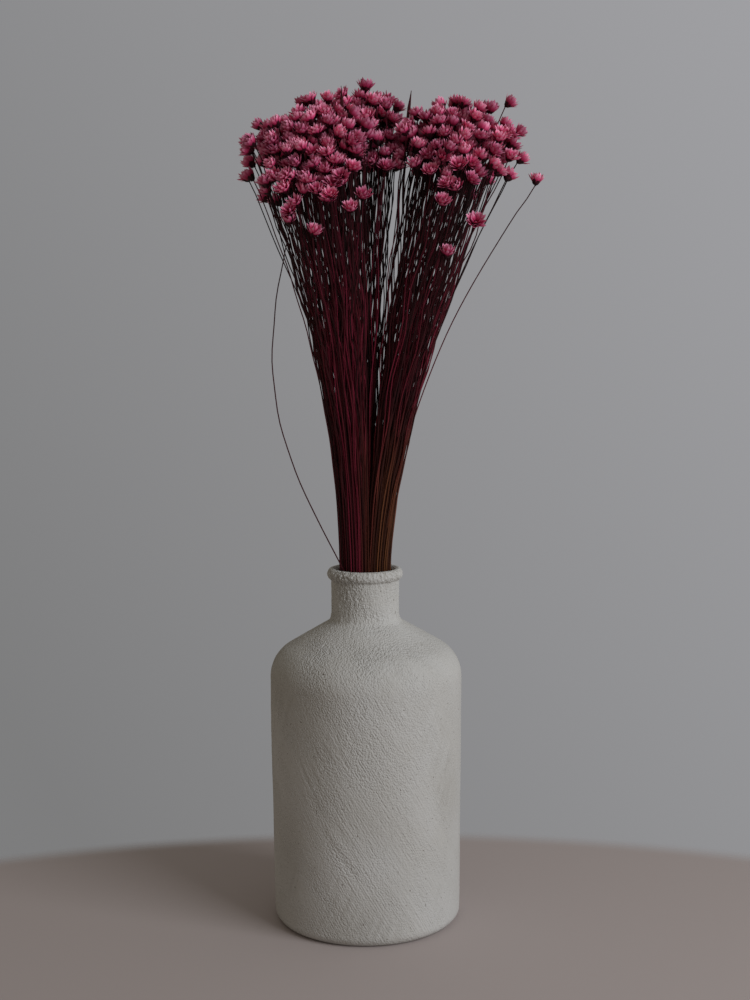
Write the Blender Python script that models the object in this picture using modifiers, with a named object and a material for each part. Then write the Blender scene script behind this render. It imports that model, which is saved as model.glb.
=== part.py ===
"""Vase of preserved glixia: a plaster-coated bottle vase that holds a loose bunch of dried star flowers.

Units are metres and +Z is up. The origin is the centre of the vase's flat base, and -Y is the front.
The stems are gathered into tufts of a few neighbours, which are one piece each: fused at the cut ends.
"""

import math

import bmesh
import bpy
import numpy as np
from mathutils import Matrix, Vector

MM = 0.001
GAP = 0.3 * MM
TINY = 1e-9

# Vase: a turned bottle
VASE_HEIGHT = 236 * MM
BODY_RADIUS = 63.5 * MM
FOOT_RADIUS = 62 * MM
FOOT_ROUND = 6.5 * MM
SHOULDER_START = 164 * MM
SHOULDER_ROUND = 24 * MM
SHOULDER_SLOPE = math.radians(30)
NECK_RADIUS = 22.3 * MM
LIP_RADIUS = 24.8 * MM
MOUTH_RADIUS = 18.5 * MM
NECK_BORE = 18 * MM
LIP_HEIGHT = 7.5 * MM
NECK_FILLET = 2 * MM
WALL = 5 * MM
FLOOR = 8 * MM
VASE_SIDES = 28

# Stems: they stand in rings in the neck, and the neighbours of a tuft meet at their cut ends
SEED = 35
SLOT_STEP = 1.85 * MM
RING_TWIST = 0.5
TUFT_SIZE = 4.8
ROOT_STEP = 0.45 * MM
ROOT_STAGGER = 2 * MM
STEM_RADIUS = 0.5 * MM
TIP_RADIUS = 0.42 * MM

# Fan: above the rim a stem spreads by a power of its height, which depends on where its head is
FAN_START = 234 * MM
CROWN_LEVEL = 540 * MM
FAN_SIDES = (-70 * MM, -58 * MM, 80 * MM, 112 * MM)
FAN_CURVES = (2.05, 1.75, 1.42, 1.85)
LEVELS = (FAN_START, 310 * MM, 405 * MM)
BOW_JITTER = 0.4 * MM

# Heads: small cups of pointed petals
HEAD_RADIUS = 4.7 * MM
HEAD_DEPTH = 7.2 * MM
VALLEY_RADIUS = 4.3 * MM
VALLEY_HEIGHT = 3.8 * MM
CUP_HEIGHT = 5.2 * MM
PETALS = 6
HEAD_SIZES = (0.86, 1.02)
NOD_JITTER = 0.15

# Room: between the middles of heads, from those to the stems that pass, and between stems
HEAD_CENTRE = 4.0 * MM
HEAD_SPACING = 9.5 * MM
STEM_SPACING = 5.7 * MM
STEM_GAP = 1.5 * MM
SPREAD_STEPS = 160
SPREAD_ROUNDS = 3

# Dense clumps of heads: centre x and y, half width, half depth, top height, rise along x,
# fall to the sides, fall to the front and the back, and number of heads
CLUMPS = (
    (-31 * MM, -12 * MM, 31 * MM, 34 * MM, 522 * MM, 0.22, 16 * MM, 54 * MM, 108),
    (-2 * MM, 13 * MM, 20 * MM, 25 * MM, 535 * MM, 0.08, 8 * MM, 36 * MM, 36),
    (61 * MM, -2 * MM, 30 * MM, 34 * MM, 525 * MM, 0.0, 14 * MM, 48 * MM, 97),
    (13 * MM, 2 * MM, 8 * MM, 17 * MM, 507 * MM, 0.0, 6 * MM, 18 * MM, 10),
)
GOLDEN_ANGLE = math.radians(137.508)
ANGLE_JITTER = 0.2
HEIGHT_JITTER = 5 * MM
CROWDING = 0.46
CLUMP_NOD = 0.6
PARTING = 24 * MM
PARTING_WIDTH = 4 * MM

# Lone heads round the clumps: x, y, height, how far the stem bows outwards on the way,
# and how far the head nods along x and y
LONE_HEADS = (
    (92 * MM, 10 * MM, 535 * MM, 0 * MM, 0.1, -0.1),
    (96 * MM, -5 * MM, 515 * MM, 0 * MM, 0.7, -0.3),
    (98 * MM, -19 * MM, 496 * MM, -3 * MM, 0.4, -0.1),
    (89 * MM, -24 * MM, 484 * MM, -3 * MM, 0.0, 0.0),
    (109 * MM, -8 * MM, 483 * MM, -2 * MM, 0.1, 0.0),
    (70 * MM, -35 * MM, 456 * MM, 0 * MM, 0.1, -0.4),
    (49 * MM, -41 * MM, 467 * MM, 0 * MM, 0.0, -1.2),
    (52 * MM, -36 * MM, 436 * MM, 0 * MM, 0.0, -0.1),
    (-69 * MM, -12 * MM, 487 * MM, 0 * MM, -0.1, -0.1),
    (-67 * MM, -3 * MM, 505 * MM, 0 * MM, -0.2, 0.0),
    (-64 * MM, 7 * MM, 521 * MM, 0 * MM, -0.2, 0.0),
    (-29 * MM, -41 * MM, 449 * MM, 0 * MM, 0.3, -0.6),
    (-7 * MM, -48 * MM, 463 * MM, 0 * MM, 0.1, -0.9),
    (0 * MM, -42 * MM, 471 * MM, 0 * MM, 0.3, -0.8),
    (-29 * MM, -47 * MM, 474 * MM, 0 * MM, 0.0, -0.9),
    (-19 * MM, -50 * MM, 471 * MM, 0 * MM, 0.1, -1.1),
    (-55 * MM, -30 * MM, 484 * MM, 0 * MM, -0.4, -0.1),
    (-47 * MM, -36 * MM, 478 * MM, 0 * MM, -0.2, -0.2),
    (-43 * MM, -33 * MM, 457 * MM, 40 * MM, -0.1, 0.3),
)
LONE_FREEDOM = 0.08


def fan_curve(heads):
    """How late the stem of each head flares; the outermost ones flare last."""
    return np.interp(heads[:, 0], FAN_SIDES, FAN_CURVES)


def fan(height, curve):
    """Share of its sideways reach that a stem has at a height."""
    return np.clip((height - FAN_START) / (CROWN_LEVEL - FAN_START), 0.0, None) ** curve


def stem_places(height, heads, slots, bows):
    """Where the stems are at one height: they fan out to their heads, with a bow in between."""
    curve = fan_curve(heads)
    share = fan(height, curve) / fan(heads[:, 2], curve)
    along = np.clip((height - FAN_START) / (heads[:, 2] - FAN_START), 0.0, 1.0)
    outwards = heads[:, :2] - slots
    bow = bows * np.sin(np.pi * along) / np.linalg.norm(outwards, axis=1)
    return slots + outwards * (share + bow)[:, None]


def head_axes(heads, slots, nods):
    """The way each head faces: on along its stem, and nodding outwards."""
    slope = (heads[:, :2] - slots) * (fan_curve(heads) / (heads[:, 2] - FAN_START))[:, None]
    along = np.column_stack((slope, np.ones(len(heads))))
    along /= np.linalg.norm(along, axis=1)[:, None]
    axes = along + np.column_stack((nods, np.zeros(len(heads))))
    return axes / np.linalg.norm(axes, axis=1)[:, None]


def clump_heads(rng):
    """Heads of the dense clumps, on slightly uneven domes, and how far each nods outwards."""
    heads = []
    nods = []
    for centre_x, centre_y, half_width, half_depth, top, rise, side_fall, front_fall, number in CLUMPS:
        for place in range(number):
            reach = ((place + 0.5) / number) ** CROWDING
            angle = place * GOLDEN_ANGLE + rng.uniform(-ANGLE_JITTER, ANGLE_JITTER)
            across = reach * math.cos(angle)
            along = reach * math.sin(angle)
            height = top + rise * across * half_width - side_fall * across ** 2 - front_fall * along ** 2
            height += rng.uniform(-HEIGHT_JITTER, HEIGHT_JITTER)
            heads.append((centre_x + across * half_width, centre_y + along * half_depth, height))
            nods.append((CLUMP_NOD * across, CLUMP_NOD * along))
    return np.array(heads), np.array(nods)


def neck_slots(number):
    """Places of the stems in the neck, in rings, with the place of the cut end and the tuft of each."""
    slots = []
    roots = []
    tufts = []
    tuft = 0
    ring = 1
    while len(slots) < number:
        count = min(6 * ring, number - len(slots))
        runs = round(count / TUFT_SIZE)
        radius = ring * SLOT_STEP
        step = 2 * math.pi / count
        for place in range(count):
            run = place * runs // count
            members = [other for other in range(count) if other * runs // count == run]
            middle = (members[0] + members[-1]) / 2
            angle = place * step + RING_TWIST * ring
            root_angle = middle * step + RING_TWIST * ring + (place - middle) * ROOT_STEP / radius
            slots.append((radius * math.cos(angle), radius * math.sin(angle)))
            roots.append((radius * math.cos(root_angle), radius * math.sin(root_angle)))
            tufts.append(tuft + run)
        tuft += runs
        ring += 1
    return np.array(slots), np.array(roots), np.array(tufts)


def match_slots(slots, order, reach):
    """Swaps slots between stems until no two stems cross on the way up."""
    swapped = True
    while swapped:
        swapped = False
        for stem in range(len(order)):
            gain = -np.sum((slots[order[stem]] - slots[order]) * (reach[stem] - reach), axis=1)
            other = int(np.argmax(gain))
            if gain[other] > TINY:
                order[stem], order[other] = order[other], order[stem]
                swapped = True
    return order


def pushes(apart, least):
    """How far each pair of points that are nearer than they may be has to move, half each."""
    distance = np.linalg.norm(apart, axis=2) + TINY
    short = np.clip(least - distance, 0.0, None)
    np.fill_diagonal(short, 0.0)
    return 0.5 * apart * (short / distance)[:, :, None]


def spread(heads, slots, bows, nods, freedom):
    """Pushes apart heads that press on each other or on a stem that passes them."""
    for _ in range(SPREAD_STEPS):
        centre = heads + head_axes(heads, slots, nods) * HEAD_CENTRE
        push = np.sum(pushes(centre[:, None] - centre[None], HEAD_SPACING), axis=1)
        # the stem of column j at the level of the head of row i
        knee = stem_places(LEVELS[-1], heads, slots, bows)
        share = (centre[:, None, 2] - LEVELS[-1]) / (heads[None, :, 2] - LEVELS[-1])
        passing = knee[None] + (heads[None, :, :2] - knee[None]) * share[:, :, None]
        sideways = pushes(centre[:, None, :2] - passing, STEM_SPACING)
        sideways *= (share < 1.0)[:, :, None]
        push[:, :2] += np.sum(sideways, axis=1) - np.sum(sideways, axis=0)
        for level in LEVELS[1:]:
            places = stem_places(level, heads, slots, bows)
            push[:, :2] += np.sum(pushes(places[:, None] - places[None], STEM_GAP), axis=1)
        # heads keep clear of the parting between the two halves of the bunch
        parted = heads[:, 0] - PARTING
        push[:, 0] += np.sign(parted) * np.clip(PARTING_WIDTH - np.abs(parted), 0.0, None)
        heads = heads + np.clip(push, -MM, MM) * freedom[:, None]
    return heads


def lay_out():
    """Heads, facing axes, neck slots, cut ends, tufts and bows of all the stems."""
    rng = np.random.default_rng(SEED)
    lone = np.array(LONE_HEADS)
    heads, nods = clump_heads(rng)
    bows = np.concatenate((rng.normal(0.0, BOW_JITTER, len(heads)), lone[:, 3]))
    heads = np.concatenate((heads, lone[:, :3]))
    nods = np.concatenate((nods, lone[:, 4:])) + rng.normal(0.0, NOD_JITTER, (len(heads), 2))
    freedom = np.ones(len(heads))
    freedom[-len(lone):] = LONE_FREEDOM
    slots, roots, tufts = neck_slots(len(heads))
    order = rng.permutation(len(heads))
    for _ in range(SPREAD_ROUNDS):
        share = fan(heads[:, 2], fan_curve(heads))
        reach = slots[order] + (heads[:, :2] - slots[order]) / share[:, None]
        order = match_slots(slots, order, reach)
        heads = spread(heads, slots[order], bows, nods, freedom)
    axes = head_axes(heads, slots[order], nods)
    return heads, axes, slots[order], roots[order], tufts[order], bows


def add_object(name, mesh, collection):
    item = bpy.data.objects.new(name, mesh)
    collection.objects.link(item)
    return item


def draw_stem(bm, points, turn):
    """A three-sided stem, drawn up ring by ring through its points; its last ring stays open."""
    start = Matrix.Translation(points[0]) @ Matrix.Rotation(turn, 4, "Z")
    corners = bmesh.ops.create_circle(bm, segments=3, radius=STEM_RADIUS, matrix=start)["verts"]
    ring = list(bm.edges)
    bmesh.ops.contextual_create(bm, geom=ring)
    for below, above in zip(points, points[1:]):
        grown = bmesh.ops.extrude_edge_only(bm, edges=ring)["geom"]
        ring = [item for item in grown if isinstance(item, bmesh.types.BMEdge)]
        corners = [item for item in grown if isinstance(item, bmesh.types.BMVert)]
        bmesh.ops.translate(bm, vec=above - below, verts=corners)
    for corner in corners:
        corner.co = points[-1] + (corner.co - points[-1]) * (TIP_RADIUS / STEM_RADIUS)
    return ring


def draw_head(bm, ring, placing):
    """A cup that opens from the stem's last ring into a star of petals round a hollow middle."""
    rim = bmesh.ops.create_circle(bm, segments=2 * PETALS, radius=HEAD_RADIUS)["verts"]
    rim_edges = list({edge for corner in rim for edge in corner.link_edges})
    for place, corner in enumerate(rim):
        corner.co.z = HEAD_DEPTH
        if place % 2:
            corner.co *= VALLEY_RADIUS / HEAD_RADIUS
            corner.co.z = VALLEY_HEIGHT
    cup = bmesh.ops.contextual_create(bm, geom=rim_edges)["faces"]
    middle = bmesh.ops.poke(bm, faces=cup)["verts"][0]
    middle.co = (0.0, 0.0, CUP_HEIGHT)
    bmesh.ops.transform(bm, matrix=placing, verts=rim + [middle])
    bmesh.ops.bridge_loops(bm, edges=ring + rim_edges)


def sprig_mesh(points, axis, turns, size):
    """One stem with its head."""
    bm = bmesh.new()
    ring = draw_stem(bm, points, turns[0])
    facing = Vector((0, 0, 1)).rotation_difference(axis).to_matrix().to_4x4()
    placing = Matrix.Translation(points[-1]) @ facing @ Matrix.Rotation(turns[1], 4, "Z")
    placing = placing @ Matrix.Scale(size, 4)
    draw_head(bm, ring, placing)
    bmesh.ops.recalc_face_normals(bm, faces=bm.faces)
    mesh = bpy.data.meshes.new("sprig")
    bm.to_mesh(mesh)
    bm.free()
    return mesh


def material(name, colour, roughness):
    made = bpy.data.materials.new(name)
    made.use_nodes = True
    shader = made.node_tree.nodes["Principled BSDF"]
    shader.inputs["Base Color"].default_value = (*colour, 1.0)
    shader.inputs["Roughness"].default_value = roughness
    shader.inputs["Metallic"].default_value = 0.0
    return made


def join_repeats(name, meshes, finish, collection):
    """One closed piece from stems and heads that run into each other."""
    repeats = bpy.data.collections.new(name + "_repeats")
    bpy.context.scene.collection.children.link(repeats)
    for mesh in meshes[1:]:
        add_object(mesh.name, mesh, repeats)
    tuft = add_object(name, meshes[0], collection)
    tuft.data.materials.append(finish)
    union = tuft.modifiers.new("join", "BOOLEAN")
    union.operation = "UNION"
    union.operand_type = "COLLECTION"
    union.collection = repeats
    union.solver = "MANIFOLD"
    joined = bpy.data.meshes.new_from_object(tuft.evaluated_get(bpy.context.evaluated_depsgraph_get()))
    tuft.modifiers.clear()
    tuft.data = joined
    joined.name = name
    for item in list(repeats.objects):
        bpy.data.objects.remove(item, do_unlink=True)
    bpy.data.collections.remove(repeats)


def make_tufts(collection):
    """Every stem with its head, fused into tufts of neighbours at the cut ends."""
    rng = np.random.default_rng(SEED + 1)
    heads, axes, slots, roots, tufts, bows = lay_out()
    places = [stem_places(level, heads, slots, bows) for level in LEVELS]
    finish = material("glixia", (0.42, 0.09, 0.16), 0.7)
    for tuft in range(tufts.max() + 1):
        meshes = []
        for stem in np.flatnonzero(tufts == tuft):
            root_height = FLOOR + GAP + ROOT_STAGGER * rng.uniform() * (len(meshes) > 0)
            points = [Vector((*roots[stem], root_height))]
            points += [Vector((*place[stem], level)) for place, level in zip(places, LEVELS)]
            points.append(Vector(heads[stem]))
            turns = rng.uniform(0.0, 2.0, 2)
            meshes.append(sprig_mesh(points, Vector(axes[stem]), turns, rng.uniform(*HEAD_SIZES)))
        join_repeats(f"glixia_tuft_{tuft + 1:02d}", meshes, finish, collection)


def arc(centre_radius, centre_height, across, up, start, end, steps):
    """Points of a round profile stretch, from one angle to another, in degrees."""
    points = []
    for step in range(steps + 1):
        angle = math.radians(start + (end - start) * step / steps)
        points.append((centre_radius + across * math.cos(angle), centre_height + up * math.sin(angle)))
    return points


def vase_profile():
    """Radius and height from the middle of the inner floor, over the lip, to the middle of the base."""
    slope = math.degrees(SHOULDER_SLOPE)
    shoulder_centre = BODY_RADIUS - SHOULDER_ROUND
    inner_round = SHOULDER_ROUND - WALL
    arc_end = shoulder_centre + SHOULDER_ROUND * math.sin(SHOULDER_SLOPE)
    arc_top = SHOULDER_START + SHOULDER_ROUND * math.cos(SHOULDER_SLOPE)
    neck_foot = arc_top + (arc_end - NECK_RADIUS) * math.tan(SHOULDER_SLOPE)
    bore_foot = neck_foot + (NECK_RADIUS - NECK_BORE) * math.tan(SHOULDER_SLOPE)
    bore_foot -= WALL / math.cos(SHOULDER_SLOPE)
    lip_half = (LIP_RADIUS - MOUTH_RADIUS) / 2
    lip_centre = MOUTH_RADIUS + lip_half
    lip_middle = VASE_HEIGHT - LIP_HEIGHT / 2
    lip_foot = -math.degrees(math.acos((NECK_RADIUS - lip_centre) / lip_half))
    profile = [(0.0, FLOOR), (FOOT_RADIUS - FOOT_ROUND, FLOOR)]
    profile.append((FOOT_RADIUS - WALL, FLOOR + FOOT_ROUND - WALL))
    profile += arc(shoulder_centre, SHOULDER_START, inner_round, inner_round, 0, 90 - slope, 2)
    profile += [(NECK_BORE, bore_foot), (NECK_BORE, VASE_HEIGHT - LIP_HEIGHT)]
    profile += arc(lip_centre, lip_middle, lip_half, LIP_HEIGHT / 2, 180, lip_foot, 5)
    profile += [(NECK_RADIUS, neck_foot + NECK_FILLET)]
    profile += [(NECK_RADIUS + NECK_FILLET, neck_foot - NECK_FILLET / 2)]
    profile += arc(shoulder_centre, SHOULDER_START, SHOULDER_ROUND, SHOULDER_ROUND, 90 - slope, 0, 3)
    profile += [(BODY_RADIUS, SHOULDER_START / 2)]
    profile += arc(FOOT_RADIUS - FOOT_ROUND, FOOT_ROUND, FOOT_ROUND, FOOT_ROUND, 0, -90, 3)
    profile.append((0.0, 0.0))
    return profile


def make_vase(collection):
    """The bottle, turned from its profile."""
    points = [(radius, 0.0, height) for radius, height in vase_profile()]
    edges = [(place, place + 1) for place in range(len(points) - 1)]
    mesh = bpy.data.meshes.new("vase")
    mesh.from_pydata(points, edges, [])
    vase = add_object("vase", mesh, collection)
    turning = vase.modifiers.new("turned", "SCREW")
    turning.steps = VASE_SIDES
    turning.render_steps = VASE_SIDES
    turning.use_merge_vertices = True
    turning.merge_threshold = 0.0001
    turning.use_smooth_shade = True
    mesh.materials.append(material("vase_plaster", (0.52, 0.50, 0.46), 0.95))


def build():
    for item in list(bpy.data.objects):
        bpy.data.objects.remove(item, do_unlink=True)
    collection = bpy.data.collections.new("vase_of_glixia")
    bpy.context.scene.collection.children.link(collection)
    make_vase(collection)
    make_tufts(collection)


build()
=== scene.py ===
"""Looks of the vase of preserved glixia: layered petals, fine stems and a brushed plaster surface.

Units are metres and +Z is up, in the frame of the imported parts. The seeded rules that place the stems and
heads are those of the part's source, so each fine tuft stands exactly where its plain solid stands.
"""

import math

import bpy
import numpy as np
from mathutils import Matrix, Vector, noise


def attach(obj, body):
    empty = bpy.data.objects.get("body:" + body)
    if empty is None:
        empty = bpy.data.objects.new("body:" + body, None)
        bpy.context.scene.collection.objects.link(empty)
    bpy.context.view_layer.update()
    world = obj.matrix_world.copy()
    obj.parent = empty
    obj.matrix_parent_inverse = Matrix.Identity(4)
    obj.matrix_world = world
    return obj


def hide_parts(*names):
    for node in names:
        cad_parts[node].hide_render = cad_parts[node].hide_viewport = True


MM = 0.001
TINY = 1e-9

# Finishes, in the order in which the stems and heads hold them
STEM = 0
PETAL = 1
CUP = 2

# Camera: where the photograph was taken from
CAMERA_PLACE = (0.0068, -0.950, 0.3839)
CAMERA_DIP = math.radians(6.19)
CAMERA_ROLL = math.radians(-0.35)
CAMERA_LENS = 52.29
CAMERA_NEAR = 0.01
SENSOR_HEIGHT = 36

# Vase: a turned bottle
VASE_HEIGHT = 236 * MM
BODY_RADIUS = 63.5 * MM
FOOT_RADIUS = 62 * MM
FOOT_ROUND = 6.5 * MM
SHOULDER_START = 164 * MM
SHOULDER_ROUND = 24 * MM
SHOULDER_SLOPE = math.radians(30)
SHOULDER_TOP = SHOULDER_START + SHOULDER_ROUND
NECK_RADIUS = 22.3 * MM
LIP_RADIUS = 24.8 * MM
MOUTH_RADIUS = 18.5 * MM
NECK_BORE = 18 * MM
LIP_HEIGHT = 7.5 * MM
NECK_FILLET = 2 * MM
WALL = 5 * MM
FLOOR = 8 * MM

# Parts of the round stretches of the vase's profile
INNER_STEPS = 4
LIP_STEPS = 20
SHOULDER_STEPS = 16
FOOT_STEPS = 12

# Stems: they stand in rings in the neck, each ring with so many more than the one inside it, and the
# neighbours of a tuft meet at their cut ends, a gap above the floor
SEED = 35
RING_STEMS = 6
SLOT_STEP = 1.85 * MM
RING_TWIST = 0.5
TUFT_SIZE = 4.8
GAP = 0.3 * MM
ROOT_STEP = 0.45 * MM
ROOT_STAGGER = 2 * MM

# Fan: above the rim a stem spreads by a power of its height, which depends on where its head is
FAN_START = 234 * MM
CROWN_LEVEL = 540 * MM
FAN_SIDES = (-70 * MM, -58 * MM, 80 * MM, 112 * MM)
FAN_CURVES = (2.05, 1.75, 1.42, 1.85)
LEVELS = (FAN_START, 310 * MM, 405 * MM)
BOW_JITTER = 0.4 * MM

# Room: between the middles of heads, from those to the stems that pass, and between stems
HEAD_SIZES = (0.86, 1.02)
NOD_JITTER = 0.15
HEAD_CENTRE = 4.0 * MM
HEAD_SPACING = 9.5 * MM
STEM_SPACING = 5.7 * MM
STEM_GAP = 1.5 * MM
SPREAD_STEPS = 160
SPREAD_ROUNDS = 3

# Dense clumps of heads: centre x and y, half width, half depth, top height, rise along x,
# fall to the sides, fall to the front and the back, and number of heads
CLUMPS = (
    (-31 * MM, -12 * MM, 31 * MM, 34 * MM, 522 * MM, 0.22, 16 * MM, 54 * MM, 108),
    (-2 * MM, 13 * MM, 20 * MM, 25 * MM, 535 * MM, 0.08, 8 * MM, 36 * MM, 36),
    (61 * MM, -2 * MM, 30 * MM, 34 * MM, 525 * MM, 0.0, 14 * MM, 48 * MM, 97),
    (13 * MM, 2 * MM, 8 * MM, 17 * MM, 507 * MM, 0.0, 6 * MM, 18 * MM, 10),
)
GOLDEN_ANGLE = math.radians(137.508)
ANGLE_JITTER = 0.2
HEIGHT_JITTER = 5 * MM
CROWDING = 0.46
CLUMP_NOD = 0.6
PARTING = 24 * MM
PARTING_WIDTH = 4 * MM

# Lone heads round the clumps: x, y, height, how far the stem bows outwards on the way,
# and how far the head nods along x and y
LONE_HEADS = (
    (92 * MM, 10 * MM, 535 * MM, 0 * MM, 0.1, -0.1),
    (96 * MM, -5 * MM, 515 * MM, 0 * MM, 0.7, -0.3),
    (98 * MM, -19 * MM, 496 * MM, -3 * MM, 0.4, -0.1),
    (89 * MM, -24 * MM, 484 * MM, -3 * MM, 0.0, 0.0),
    (109 * MM, -8 * MM, 483 * MM, -2 * MM, 0.1, 0.0),
    (70 * MM, -35 * MM, 456 * MM, 0 * MM, 0.1, -0.4),
    (49 * MM, -41 * MM, 467 * MM, 0 * MM, 0.0, -1.2),
    (52 * MM, -36 * MM, 436 * MM, 0 * MM, 0.0, -0.1),
    (-69 * MM, -12 * MM, 487 * MM, 0 * MM, -0.1, -0.1),
    (-67 * MM, -3 * MM, 505 * MM, 0 * MM, -0.2, 0.0),
    (-64 * MM, 7 * MM, 521 * MM, 0 * MM, -0.2, 0.0),
    (-29 * MM, -41 * MM, 449 * MM, 0 * MM, 0.3, -0.6),
    (-7 * MM, -48 * MM, 463 * MM, 0 * MM, 0.1, -0.9),
    (0 * MM, -42 * MM, 471 * MM, 0 * MM, 0.3, -0.8),
    (-29 * MM, -47 * MM, 474 * MM, 0 * MM, 0.0, -0.9),
    (-19 * MM, -50 * MM, 471 * MM, 0 * MM, 0.1, -1.1),
    (-55 * MM, -30 * MM, 484 * MM, 0 * MM, -0.4, -0.1),
    (-47 * MM, -36 * MM, 478 * MM, 0 * MM, -0.2, -0.2),
    (-43 * MM, -33 * MM, 457 * MM, 40 * MM, -0.1, 0.3),
)
LONE_FREEDOM = 0.08

# Fine stems: round wires that taper, waver a little and bend over into their heads
WIRE_SIDES = 6
WIRE_RADIUS = 0.42 * MM
WIRE_TIP_RADIUS = 0.34 * MM
WIRE_STEPS = 30
NECK_STEPS = 3
BEND_LENGTH = 14 * MM

# Wavering: how far a wire sways at most, how often, and by which power of its way up it grows;
# the gain brings the largest sway to about its full size
WAVER = 1.5 * MM
LONE_WAVER = 0.3 * MM
WAVER_TURNS = (2.0, 7.0)
WAVER_POWER = 1.5
WAVER_GAIN = 3.1

# Where the wires turn from maroon to brown: height, on which side of the bunch, and over what widths
BROWN_HEIGHT = 350 * MM
BROWN_SPAN = 110 * MM
BROWN_SIDE = -4 * MM
BROWN_WIDTH = 12 * MM

# More stems with heads than the plain solids have room for; they stand between the rings in the neck,
# and their heads lie a little below the others, in the gaps
EXTRA_RINGS = range(1, 8)
EXTRA_DROP = (-4 * MM, 8 * MM)
EXTRA_SPACING = 7.4 * MM
EXTRA_PIECES = 8

# Fine heads, in millimetres from the stem up: a dark cup with short scales, whorls of petals,
# and a knobbly middle; opening runs from 0, a bud, to 1, a star, and has a mean and a spread
FULLER = 1.19
OPENING = (0.72, 0.25)
LEAST_OPENING = 0.05
FACING_JITTER = 0.2
HEAD_TURNS = (0.0, 2.0)
CUP_PROFILE = ((0.36, -0.6), (0.85, 0.1), (1.6, 0.9), (2.15, 2.0), (2.0, 3.0))
CUP_SIDES = 8
# Each whorl: number of petals, foot radius and height, length, width, and how much steeper it stands
WHORLS = (
    (10, 1.8, 1.6, 5.4, 2.7, 0),
    (9, 1.5, 1.9, 5.8, 2.5, 9),
    (8, 1.1, 2.1, 5.8, 2.1, 19),
    (5, 0.6, 2.3, 5.4, 1.9, 30),
)
SCALES = ((7, 1.2, 0.2, 2.4, 2.1, 4), (8, 1.8, 1.2, 2.9, 2.3, 8))

# Petals: where along them their points are, and how far they lean, in degrees: at the foot, and at the
# tip of a bud and of a star; the foot of a steeper whorl has this share of its steepness
PETAL_STATIONS = (0.0, 0.14, 0.34, 0.58, 0.82)
SCALE_STATIONS = (0.0, 0.3, 0.7)
PETAL_START = 42
PETAL_END = (2, 54)
FOOT_STEEPER = 0.6
BEND_STEPS = 20

# Outline of a petal: its width at the foot, what it gains on the way up, the power of its taper,
# and the depth of the keel along its middle
PETAL_FOOT = 0.4
PETAL_FLARE = 1.2
PETAL_TAPER = 2.6
PETAL_KEEL = 0.13
KEEL_LEAST = 0.6

# How much each petal varies in place, lean, length and tone
PLACE_JITTER = 0.26
START_JITTER = 7
END_JITTER = 13
PETAL_LENGTHS = (0.82, 1.1)
TONE_JITTER = 0.12

# Knobbly middle, in millimetres: small buds, pointed above and below, on a low dome
FLORETS = 12
FLORET_SIZE = 0.34
FLORET_SIZES = (0.8, 1.2)
FLORET_POINTS = (2.4, -1.6)
FLORET_TIP = 0.35
DOME_RADIUS = 1.25
DOME_TOP = 2.9
DOME_FALL = 0.25

# Angle between faces from which an edge is sharp
CREASE = math.radians(50)

# Bare spikes that stand up out of the crown: x, y and tip height, the radii of their last rings,
# and how near the middle of the neck they stand, as a share of x and y
SPIKES = (
    (-13 * MM, -11 * MM, 545 * MM),
    (31.5 * MM, -4 * MM, 543 * MM),
    (0 * MM, -8 * MM, 537 * MM),
)
SPIKE_RADII = (0.7 * MM, 1.05 * MM, 0.15 * MM)
SPIKE_SPREAD = 0.12
SPIKE_TONE = 0.5

# Mottled petals and streaked stems, in features per metre, and how strong these are
MOTTLE_SCALE = 900
MOTTLE = 0.2
STREAK_SCALE = 60
STREAK_STRETCH = (1.0, 1.0, 0.12)
STREAK_GAIN = 1.9

# Vase surface: a turned grid, whose relief fades out over its first rows and towards the base
VASE_COLUMNS = 384
VASE_ROW = 1.1 * MM
FADE_ROWS = 4
FOOT_FADE = 3 * MM

# Brush strokes: they lean sideways by so much on the way up, one way in some areas and the other way in
# others, and are faint between patches; sizes are across and upright, and an edge is where in the noise
# the change begins and ends
STROKE_LEANS = (0.6, -0.4)
STROKE_SIZE = (1.9 * MM, 20 * MM)
STROKE_RELIEF = 0.26 * MM
AREA_SIZE = (34 * MM, 60 * MM)
AREA_EDGE = (-0.15, 0.2)
STROKE_PATCH = (26 * MM, 34 * MM)
STROKE_EDGE = (-0.2, 0.4)
FAINTEST_STROKES = 0.1

# Grit, which is rougher by so much on the lip and above the shoulder, and slow swells
GRIT_SIZE = 1.7 * MM
GRIT_RELIEF = 0.1 * MM
LIP_ROUGHER = 3.0
TOP_ROUGHER = 1.2
LIP_BLEND = 2 * MM
SWELL_SIZE = (38 * MM, 45 * MM)
SWELL_RELIEF = 0.35 * MM

# Roughness of the plaster: its mean, how far it goes up on the rough side and down on the other,
# its least and its range in patches, and how much more there is of it above the shoulder
ROUGH_SIDE = math.radians(225)
ROUGH_MEAN = 0.72
ROUGH_SWING = 0.38
PATCH_SIZE = (17 * MM, 30 * MM)
PATCH_EDGE = (-0.3, 0.35)
PATCH_LEAST = 0.65
PATCH_RANGE = 0.6
TOP_ROUGHNESS = 0.55
TOP_BLEND = 10 * MM

# Plaster colour: how strongly painted shade darkens the hollows of the relief, and its clouds and pits in
# features per metre
HOLLOW_SHADE_GAIN = 1.1
CLOUD_SCALE = 28
PIT_SCALE = 620

# Plaster bump, in features per metre: sand, and fine strokes stretched along the brush marks
BUMP_DEPTH = 1.0 * MM
SAND_SCALE = 840
SAND_HEIGHT = -0.42
STROKE_SCALE = 850
STROKE_STRETCH = (1.0, 1.0, 0.08)
STROKE_HEIGHT = 0.42

# Key light: a large soft lamp to the right of the camera
KEY_PLACE = (1.28, -1.02, 0.95)
KEY_AIM = (0.0, 0.0, 0.28)
KEY_SIZE = (1.0, 1.2)
KEY_POWER = 19.2
KEY_COLOUR = (0.955, 0.99, 1.05)

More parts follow.
